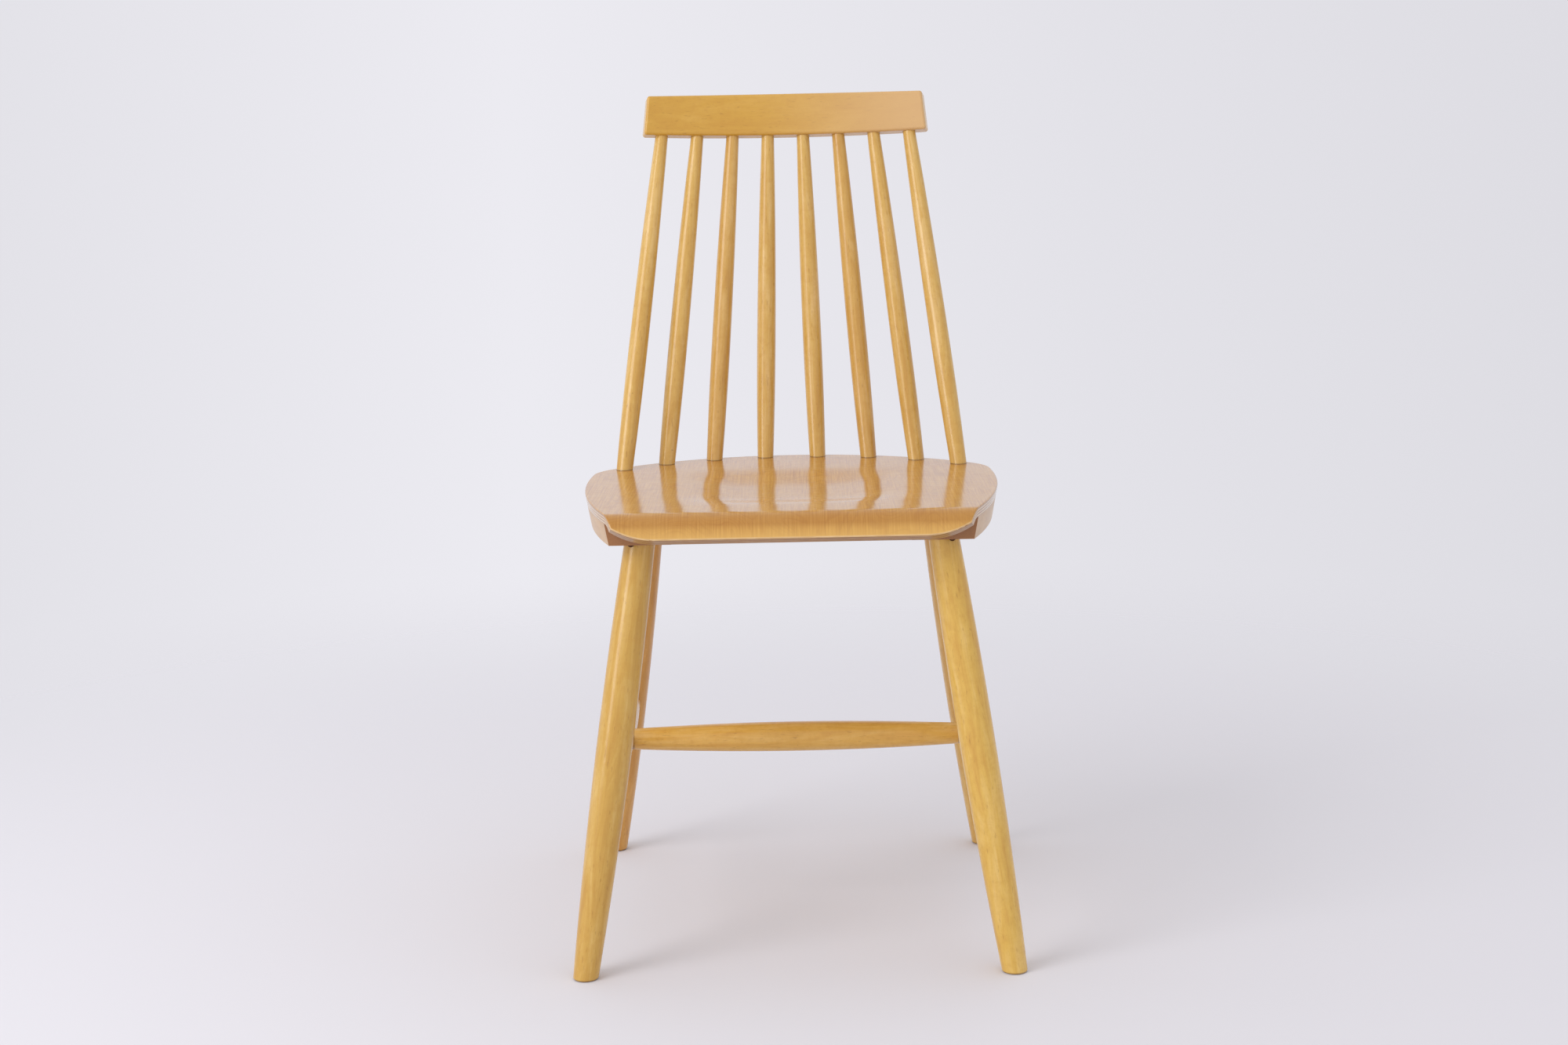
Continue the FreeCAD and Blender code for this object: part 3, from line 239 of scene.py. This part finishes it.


# Crest rail: a sawn and sanded birch board under the same lacquer, its flat-sawn face showing
# broader, calmer bands along its length and fine flecks; toward its right end it is painted pale
# pinkish tan as a painted reflection of the key softbox, and its end faces get a painted highlight

def sanded_birch_board():
    material, tree = new_material("sanded_birch_board")
    place = along_grain(tree, *grain_line("crest_rail"))
    colour, fibres = birch_colour(tree, place, 31, "#C49136", "#CB9B3C", "#D2A44A", band_mm=16)
    lengthwise = add_node(tree, "ShaderNodeSeparateXYZ", {"Vector": place})
    # painted reflection: toward the right end the rail turns pale pinkish tan, in place of the key
    # softbox's reflection
    painted_sheen_share = add_node(tree, "ShaderNodeMapRange", {
        "Value": lengthwise.outputs["Z"], "From Min": 0.10, "From Max": 0.31,
        "To Min": 0.0, "To Max": 0.8}, interpolation_type="SMOOTHSTEP")
    sheened_rail = add_node(tree, "ShaderNodeMix", {
        0: painted_sheen_share.outputs["Result"], 6: colour, 7: linear("#D2AA7A")}, data_type="RGBA")
    normal = add_node(tree, "ShaderNodeNewGeometry")
    across = add_node(tree, "ShaderNodeSeparateXYZ", {"Vector": normal.outputs["Normal"]})
    end_facing = add_node(tree, "ShaderNodeMath", {0: across.outputs["X"]}, operation="ABSOLUTE")
    end_share = add_node(tree, "ShaderNodeMapRange", {
        "Value": end_facing.outputs[0], "From Min": 0.55, "From Max": 0.9,
        "To Min": 0.0, "To Max": 0.55}, interpolation_type="SMOOTHSTEP")
    # painted highlight: the end faces are mixed paler
    end_highlighted = add_node(tree, "ShaderNodeMix", {
        0: end_share.outputs["Result"], 6: sheened_rail.outputs[2], 7: linear("#DDB87E")},
        data_type="RGBA")
    lacquer_over(tree, end_highlighted.outputs[2], fibres, 0.015, 0.26)
    give_finish("crest_rail", material)


sanded_birch_board()


# Seat: rotary-cut birch veneers pressed into a moulded sheet, with thick polished lacquer.
# The face veneer runs front to back and shows fine straight lines and a faint flame figure.
# Its sawn edges show seven layers, pale where the grain is cut along and brown where it is
# cut across.

def moulded_birch_plywood():
    material, tree = new_material("moulded_birch_plywood")
    place = add_node(tree, "ShaderNodeTexCoord")
    parts = add_node(tree, "ShaderNodeSeparateXYZ", {"Vector": place.outputs["Object"]})
    geometry = add_node(tree, "ShaderNodeNewGeometry")

    # how far along the lip, and how deep in the sheet, a point of the section lies
    section = add_node(tree, "ShaderNodeMapping", {
        "Vector": place.outputs["Object"], "Location": -ROLL, "Scale": (0, 1, 1)})
    down_lip = add_node(tree, "ShaderNodeVectorMath", {
        0: section.outputs["Vector"], 1: LIP_DOWN}, operation="DOT_PRODUCT")
    on_lip = add_node(tree, "ShaderNodeMath", {
        0: down_lip.outputs["Value"], 1: 0.0}, operation="MAXIMUM")
    lip_part = add_node(tree, "ShaderNodeVectorMath", {
        0: LIP_DOWN, "Scale": on_lip.outputs[0]}, operation="SCALE")
    round_part = add_node(tree, "ShaderNodeVectorMath", {
        0: section.outputs["Vector"], 1: lip_part.outputs["Vector"]}, operation="SUBTRACT")
    ahead_only = add_node(tree, "ShaderNodeVectorMath", {
        0: round_part.outputs["Vector"], 1: (1, 0, 1)}, operation="MINIMUM")
    radius = add_node(tree, "ShaderNodeVectorMath", {
        0: ahead_only.outputs["Vector"]}, operation="LENGTH")
    depth = add_node(tree, "ShaderNodeMath", {
        0: ROLL_RADIUS, 1: radius.outputs["Value"]}, operation="SUBTRACT")

    # face veneer, laid out flat: across the seat, and along its section from back to lip
    run = add_node(tree, "ShaderNodeMath", {
        0: parts.outputs["Y"], 1: parts.outputs["Z"]}, operation="ADD")
    veneer = add_node(tree, "ShaderNodeCombineXYZ", {
        "X": parts.outputs["X"], "Y": run.outputs[0]})
    straight = add_node(tree, "ShaderNodeMapping", {
        "Vector": veneer.outputs["Vector"], "Scale": (1, 1 / 45, 1)})
    lines = add_node(tree, "ShaderNodeTexNoise", {
        "Vector": straight.outputs["Vector"], "Scale": 1 / (1.6 * mm),
        "Detail": 3.0, "Roughness": 0.65}, noise_dimensions="2D")
    body = add_node(tree, "ShaderNodeValToRGB", {"Fac": lines.outputs["Fac"]},
                    stops=[(0.26, "#A8702A"), (0.50, "#BC8636"), (0.76, "#CC9B4C")])
    flame_place = add_node(tree, "ShaderNodeMapping", {
        "Vector": veneer.outputs["Vector"], "Location": (0.31, 0.12, 0),
        "Scale": (1 / 0.055, 1 / 0.085, 1)})
    flame = add_node(tree, "ShaderNodeTexNoise", {
        "Vector": flame_place.outputs["Vector"], "Scale": 1.0,
        "Detail": 1.0, "Distortion": 0.6}, noise_dimensions="2D")
    flame_rings = add_node(tree, "ShaderNodeMath", {
        0: flame.outputs["Fac"], 1: 15.0}, operation="MULTIPLY")
    flame_lines = add_node(tree, "ShaderNodeMath", {
        0: flame_rings.outputs[0], 1: 0.5}, operation="PINGPONG")
    flame_shade = add_node(tree, "ShaderNodeMapRange", {
        "Value": flame_lines.outputs[0], "From Min": 0.30, "From Max": 0.5,
        "To Min": 0.0, "To Max": 0.46}, interpolation_type="SMOOTHSTEP")
    flamed = add_node(tree, "ShaderNodeMix", {
        0: flame_shade.outputs["Result"], 6: body.outputs["Color"], 7: linear("#A8702A")},
        data_type="RGBA")
    clouds = add_node(tree, "ShaderNodeTexNoise", {
        "Vector": veneer.outputs["Vector"], "Scale": 1 / (45 * mm), "Detail": 2.0},
        noise_dimensions="2D")
    cloud_shade = add_node(tree, "ShaderNodeMapRange", {
        "Value": clouds.outputs["Fac"], "From Min": 0.4, "From Max": 0.7,
        "To Min": 0.0, "To Max": 0.35}, interpolation_type="SMOOTHSTEP")
    clouded = add_node(tree, "ShaderNodeMix", {
        0: cloud_shade.outputs["Result"], 6: flamed.outputs[2], 7: linear("#C5964A")},
        data_type="RGBA")
    # the lip is paler toward its lower edge, with a pale line along the edge itself
    half = add_node(tree, "ShaderNodeMath", {0: parts.outputs["X"]}, operation="ABSOLUTE")
    past_start = add_node(tree, "ShaderNodeMath", {
        0: half.outputs[0], 1: CORNER_START}, operation="SUBTRACT")
    in_corner = add_node(tree, "ShaderNodeMath", {
        0: past_start.outputs[0], 1: 0.0}, operation="MAXIMUM")
    below_middle = add_node(tree, "ShaderNodeMath", {
        0: on_lip.outputs[0], 1: CORNER_RADIUS - LIP_LENGTH}, operation="ADD")
    from_middle = add_node(tree, "ShaderNodeCombineXYZ", {
        "X": in_corner.outputs[0], "Y": below_middle.outputs[0]})
    reach = add_node(tree, "ShaderNodeVectorMath", {
        0: from_middle.outputs["Vector"]}, operation="LENGTH")
    to_edge = add_node(tree, "ShaderNodeMath", {
        0: CORNER_RADIUS, 1: reach.outputs["Value"]}, operation="SUBTRACT")
    # painted shade: the roll, between the flat rim and the lip, is darkened
    roll_start = add_node(tree, "ShaderNodeMapRange", {
        "Value": down_lip.outputs["Value"], "From Min": -0.84 * ROLL_RADIUS,
        "From Max": -0.35 * ROLL_RADIUS}, interpolation_type="SMOOTHSTEP")
    roll_end = add_node(tree, "ShaderNodeMapRange", {
        "Value": on_lip.outputs[0], "From Min": 0.0, "From Max": 0.5 * LIP_LENGTH,
        "To Min": 0.45, "To Max": 0.0}, interpolation_type="SMOOTHSTEP")
    painted_roll_shade = add_node(tree, "ShaderNodeMath", {
        0: roll_start.outputs["Result"], 1: roll_end.outputs["Result"]}, operation="MULTIPLY")
    roll_shaded = add_node(tree, "ShaderNodeMix", {
        0: painted_roll_shade.outputs[0], 6: clouded.outputs[2], 7: linear("#A36C28")}, data_type="RGBA")
    lip_paling = add_node(tree, "ShaderNodeMapRange", {
        "Value": on_lip.outputs[0], "From Min": 0.0, "From Max": LIP_LENGTH,
        "To Min": 0.0, "To Max": 0.75})
    paler_lip = add_node(tree, "ShaderNodeMix", {
        0: lip_paling.outputs["Result"], 6: roll_shaded.outputs[2], 7: linear("#D8AA5C")},
        data_type="RGBA")
    rim = add_node(tree, "ShaderNodeMapRange", {
        "Value": to_edge.outputs[0], "From Min": 0.6 * mm, "From Max": 1.9 * mm,
        "To Min": 0.7, "To Max": 0.0}, interpolation_type="SMOOTHSTEP")
    lip_only = add_node(tree, "ShaderNodeMapRange", {
        "Value": on_lip.outputs[0], "From Min": 0.2 * mm, "From Max": 1.5 * mm})
    lip_rim = add_node(tree, "ShaderNodeMath", {
        0: rim.outputs["Result"], 1: lip_only.outputs["Result"]}, operation="MULTIPLY")
    edge_lined = add_node(tree, "ShaderNodeMix", {
        0: lip_rim.outputs[0], 6: paler_lip.outputs[2], 7: linear("#E6C68E")}, data_type="RGBA")

    # layers of the sheet, on the sawn walls and the end of the lip
    layer = PLY / PLY_LAYERS
    layers = add_node(tree, "ShaderNodeMath", {
        0: depth.outputs[0], 1: layer}, operation="PINGPONG")
    crossed = add_node(tree, "ShaderNodeMapRange", {
        "Value": layers.outputs[0], "From Min": 0.40 * layer, "From Max": 0.60 * layer},
        interpolation_type="SMOOTHSTEP")
    sawn_place = add_node(tree, "ShaderNodeMapping", {
        "Vector": place.outputs["Object"], "Scale": (1, 1, 14)})
    sawn_grain = add_node(tree, "ShaderNodeTexNoise", {
        "Vector": sawn_place.outputs["Vector"], "Scale": 1 / (9 * mm), "Detail": 3.0})
    along = add_node(tree, "ShaderNodeValToRGB", {"Fac": sawn_grain.outputs["Fac"]},
                     stops=[(0.3, "#C79E68"), (0.7, "#DDBC8C")])
    across = add_node(tree, "ShaderNodeValToRGB", {"Fac": sawn_grain.outputs["Fac"]},
                      stops=[(0.3, "#8E5F33"), (0.7, "#AD7C48")])
    edge = add_node(tree, "ShaderNodeMix", {
        0: crossed.outputs["Result"], 6: along.outputs["Color"], 7: across.outputs["Color"]},
        data_type="RGBA")
    facing = add_node(tree, "ShaderNodeSeparateXYZ", {"Vector": geometry.outputs["Normal"]})
    upright = add_node(tree, "ShaderNodeMath", {0: facing.outputs["Z"]}, operation="ABSOLUTE")
    wall = add_node(tree, "ShaderNodeMapRange", {
        "Value": upright.outputs[0], "From Min": 0.36, "From Max": 0.50,
        "To Min": 1.0, "To Max": 0.0}, interpolation_type="SMOOTHSTEP")
    toward_end = add_node(tree, "ShaderNodeVectorMath", {
        0: geometry.outputs["Normal"], 1: LIP_DOWN}, operation="DOT_PRODUCT")
    looks_down_lip = add_node(tree, "ShaderNodeMapRange", {
        "Value": toward_end.outputs["Value"], "From Min": 0.50, "From Max": 0.65})
    out_of_face = add_node(tree, "ShaderNodeVectorMath", {
        0: geometry.outputs["Normal"], 1: LIP_OUT}, operation="DOT_PRODUCT")
    aslant = add_node(tree, "ShaderNodeMath", {
        0: out_of_face.outputs["Value"]}, operation="ABSOLUTE")
    square_to_face = add_node(tree, "ShaderNodeMapRange", {
        "Value": aslant.outputs[0], "From Min": 0.25, "From Max": 0.42,
        "To Min": 1.0, "To Max": 0.0}, interpolation_type="SMOOTHSTEP")
    lip_end = add_node(tree, "ShaderNodeMath", {
        0: looks_down_lip.outputs["Result"], 1: square_to_face.outputs["Result"]},
        operation="MULTIPLY")
    sawn = add_node(tree, "ShaderNodeMath", {
        0: wall.outputs["Result"], 1: lip_end.outputs[0]}, operation="MAXIMUM")
    # painted shade: the lip's end, which faces down, is darkened more than the walls
    painted_end_shade = add_node(tree, "ShaderNodeMath", {0: lip_end.outputs[0], 1: 0.5}, operation="MULTIPLY")
    shaded_edge = add_node(tree, "ShaderNodeMix", {
        0: painted_end_shade.outputs[0], 6: edge.outputs[2], 7: linear("#83552B")}, data_type="RGBA")
    colour = add_node(tree, "ShaderNodeMix", {
        0: sawn.outputs[0], 6: edge_lined.outputs[2], 7: shaded_edge.outputs[2]}, data_type="RGBA")

    # the lacquer's own skin: long shallow waves, and small scuffs that dull the shine
    waves = add_node(tree, "ShaderNodeTexNoise", {
        "Vector": straight.outputs["Vector"], "Scale": 1 / (7 * mm), "Detail": 1.0},
        noise_dimensions="2D")
    coat_bump = add_node(tree, "ShaderNodeBump", {
        "Height": waves.outputs["Fac"], "Distance": 0.02 * mm, "Strength": 1.0})
    scuffs = add_node(tree, "ShaderNodeTexNoise", {
        "Vector": veneer.outputs["Vector"], "Scale": 1 / (12 * mm), "Detail": 5.0,
        "Roughness": 0.7}, noise_dimensions="2D")
    dulled = add_node(tree, "ShaderNodeMapRange", {
        "Value": scuffs.outputs["Fac"], "From Min": 0.3, "From Max": 0.75,
        "To Min": 0.45, "To Max": 0.65})
    shader = lacquer_over(tree, colour.outputs[2], lines.outputs["Fac"], 0.01, 0.14)
    tree.links.new(dulled.outputs["Result"], shader.inputs["Roughness"])
    tree.links.new(coat_bump.outputs["Normal"], shader.inputs["Coat Normal"])
    give_finish("seat_shell", material)


moulded_birch_plywood()


# Bearers: sawn birch battens, lacquered with the rest but left rougher, so they look browner
# and duller; their sawn ends drink the lacquer and turn darker, and are darkened further with
# painted shade, as under the seat's lip

def sawn_birch_batten(name, seed):
    material, tree = new_material("sawn_birch_" + name)
    low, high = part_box(name)
    middle = (low + high) / 2
    if name == "rear_bearer":
        start, end = Vector((low.x, middle.y, middle.z)), Vector((high.x, middle.y, middle.z))
    else:
        start, end = Vector((middle.x, low.y, middle.z)), Vector((middle.x, high.y, middle.z))
    place = along_grain(tree, start, end)
    colour, fibres = birch_colour(tree, place, seed, "#B98E5C", "#C69E6C", "#D0AB7C", band_mm=12)
    geometry = add_node(tree, "ShaderNodeNewGeometry")
    facing = add_node(tree, "ShaderNodeVectorMath", {
        0: geometry.outputs["Normal"], 1: (end - start).normalized()}, operation="DOT_PRODUCT")
    end_on = add_node(tree, "ShaderNodeMath", {0: facing.outputs["Value"]}, operation="ABSOLUTE")
    end_share = add_node(tree, "ShaderNodeMapRange", {
        "Value": end_on.outputs[0], "From Min": 0.7, "From Max": 0.95},
        interpolation_type="SMOOTHSTEP")
    # pores of the end grain are 0.1 mm wide, so they are drawn as specks of 0.7 mm
    pores = add_node(tree, "ShaderNodeTexNoise", {
        "Vector": place, "Scale": 1 / (0.7 * mm), "Detail": 2.0})
    # end grain, darkened further as painted shade, as under the seat's lip
    end_grain_and_shade = add_node(tree, "ShaderNodeValToRGB", {"Fac": pores.outputs["Fac"]},
                         stops=[(0.35, "#8C5A30"), (0.65, "#A67242")])
    both = add_node(tree, "ShaderNodeMix", {
        0: end_share.outputs["Result"], 6: colour, 7: end_grain_and_shade.outputs["Color"]},
        data_type="RGBA")
    lacquer_over(tree, both.outputs[2], fibres, 0.04, 0.30)
    give_finish(name, material)


for name, seed in (("left_bearer", 41), ("right_bearer", 42), ("rear_bearer", 43)):
    sawn_birch_batten(name, seed)


# Screws: bronzed steel, browned in a bath: dark metal with a dull shine

def bronzed_steel():
    material, tree = new_material("bronzed_steel")
    place = add_node(tree, "ShaderNodeTexCoord")
    tarnish = add_node(tree, "ShaderNodeTexNoise", {
        "Vector": place.outputs["Object"], "Scale": 1 / (1.2 * mm), "Detail": 3.0})
    colour = add_node(tree, "ShaderNodeValToRGB", {"Fac": tarnish.outputs["Fac"]},
                      stops=[(0.3, "#3A2416"), (0.55, "#5A3A26"), (0.75, "#7A563A")])
    dull = add_node(tree, "ShaderNodeMapRange", {
        "Value": tarnish.outputs["Fac"], "From Min": 0.3, "From Max": 0.7,
        "To Min": 0.45, "To Max": 0.65})
    shader = add_node(tree, "ShaderNodeBsdfPrincipled", {
        "Base Color": colour.outputs["Color"], "Metallic": 1.0,
        "Roughness": dull.outputs["Result"]})
    add_node(tree, "ShaderNodeOutputMaterial", {"Surface": shader.outputs["BSDF"]})
    for bearer in ("left_bearer", "right_bearer", "rear_bearer"):
        give_finish(bearer + "_screws", material)


bronzed_steel()


# Light, floor and camera

def look_along(position, forward, right):
    """Placement of a camera or lamp from where it is and which way it looks."""
    up = right.cross(forward)
    turn = Matrix((right, up, -forward)).transposed()
    return Matrix.Translation(position) @ turn.to_4x4()


def add_camera():
    """The photograph's view: 54 mm lens, a little above and in front of the chair."""
    position = Vector((11.5, -2361.4, 787.1)) * mm
    yaw, pitch, roll = -0.0084, 0.1631, -0.0209
    forward = Vector((
        math.sin(yaw) * math.cos(pitch), math.cos(yaw) * math.cos(pitch), -math.sin(pitch)))
    level = Vector((math.cos(yaw), -math.sin(yaw), 0))
    up = level.cross(forward)
    right = math.cos(roll) * level + math.sin(roll) * up
    data = bpy.data.cameras.new("camera")
    data.sensor_width = 36
    data.lens = 54
    data.clip_end = 100
    camera = bpy.data.objects.new("camera", data)
    camera.matrix_world = look_along(position, forward, right)
    bpy.context.scene.collection.objects.link(camera)
    bpy.context.scene.camera = camera


def add_softbox(name, position, target, width, power):
    data = bpy.data.lights.new(name, "AREA")
    data.shape = "DISK"
    data.size = width
    data.energy = power
    softbox = bpy.data.objects.new(name, data)
    forward = (Vector(target) - Vector(position)).normalized()
    right = forward.cross(Vector((0, 0, 1))).normalized()
    softbox.matrix_world = look_along(Vector(position), forward, right)
    bpy.context.scene.collection.objects.link(softbox)


def add_studio():
    """Even light from all sides, and the pale backdrop that the camera and gloss see, with painted
    light.
    """
    world = bpy.data.worlds.new("studio")
    bpy.context.scene.world = world
    world.use_nodes = True
    tree = world.node_tree
    tree.nodes.clear()
    light = add_node(tree, "ShaderNodeBackground", {"Color": linear("#FFFFFF"), "Strength": 0.90})
    way = add_node(tree, "ShaderNodeTexCoord")
    parts = add_node(tree, "ShaderNodeSeparateXYZ", {"Vector": way.outputs["Generated"]})
    across = add_node(tree, "ShaderNodeMapRange", {
        "Value": parts.outputs["X"], "From Min": -0.35, "From Max": 0.35})
    # painted light on the backdrop: brightest a little left of the middle, darker toward the sides
    backdrop_painted_light = add_node(tree, "ShaderNodeValToRGB", {"Fac": across.outputs["Result"]},
                     stops=[(0.0, "#E2E1E7"), (0.33, "#ECEBF1"),
                            (0.68, "#E3E2E8"), (1.0, "#DDDCE2")])
    seen = add_node(tree, "ShaderNodeBackground", {
        "Color": backdrop_painted_light.outputs["Color"], "Strength": 1.0})
    path = add_node(tree, "ShaderNodeLightPath")
    direct = add_node(tree, "ShaderNodeMath", {
        0: path.outputs["Is Camera Ray"], 1: path.outputs["Is Glossy Ray"]}, operation="MAXIMUM")
    shown = add_node(tree, "ShaderNodeMath", {
        0: direct.outputs[0], 1: path.outputs["Is Transmission Ray"]}, operation="MAXIMUM")
    both = add_node(tree, "ShaderNodeMixShader", {
        0: shown.outputs[0], 1: light.outputs["Background"], 2: seen.outputs["Background"]})
    add_node(tree, "ShaderNodeOutputWorld", {"Surface": both.outputs["Shader"]})


def add_floor():
    """Pale painted floor that runs into the backdrop with no edge."""
    mesh = bpy.data.meshes.new("floor")
    bm = bmesh.new()
    bmesh.ops.create_circle(bm, cap_ends=True, segments=96, radius=FLOOR_RADIUS)
    bm.to_mesh(mesh)
    bm.free()
    floor = bpy.data.objects.new("floor", mesh)
    bpy.context.scene.collection.objects.link(floor)
    material, tree = new_material("painted_floor")
    place = add_node(tree, "ShaderNodeTexCoord")
    distance = add_node(tree, "ShaderNodeVectorMath", {
        0: place.outputs["Object"]}, operation="LENGTH")
    paint = add_node(tree, "ShaderNodeBsdfDiffuse", {"Color": linear("#DDDBE2")})
    nothing = add_node(tree, "ShaderNodeBsdfTransparent")
    path = add_node(tree, "ShaderNodeLightPath")
    direct = add_node(tree, "ShaderNodeMath", {
        0: path.outputs["Is Camera Ray"], 1: path.outputs["Is Glossy Ray"]}, operation="MAXIMUM")
    away = add_node(tree, "ShaderNodeMapRange", {
        "Value": distance.outputs["Value"], "From Min": 0.7, "From Max": 2.0},
        interpolation_type="SMOOTHSTEP")
    fade = add_node(tree, "ShaderNodeMath", {
        0: direct.outputs[0], 1: away.outputs["Result"]}, operation="MULTIPLY")
    surface = add_node(tree, "ShaderNodeMixShader", {
        0: fade.outputs[0], 1: paint.outputs["BSDF"], 2: nothing.outputs["BSDF"]})
    add_node(tree, "ShaderNodeOutputMaterial", {"Surface": surface.outputs["Shader"]})
    mesh.materials.append(material)


bpy.context.scene.view_settings.view_transform = "Standard"
add_camera()
add_studio()
add_floor()
add_softbox("key_softbox", (-2.3, -1.85, 2.5), (0, 0, 0.45), 2.0, 38)
add_softbox("low_softbox", (-2.4, -2.0, 0.8), (0, 0, 0.35), 1.1, 12)
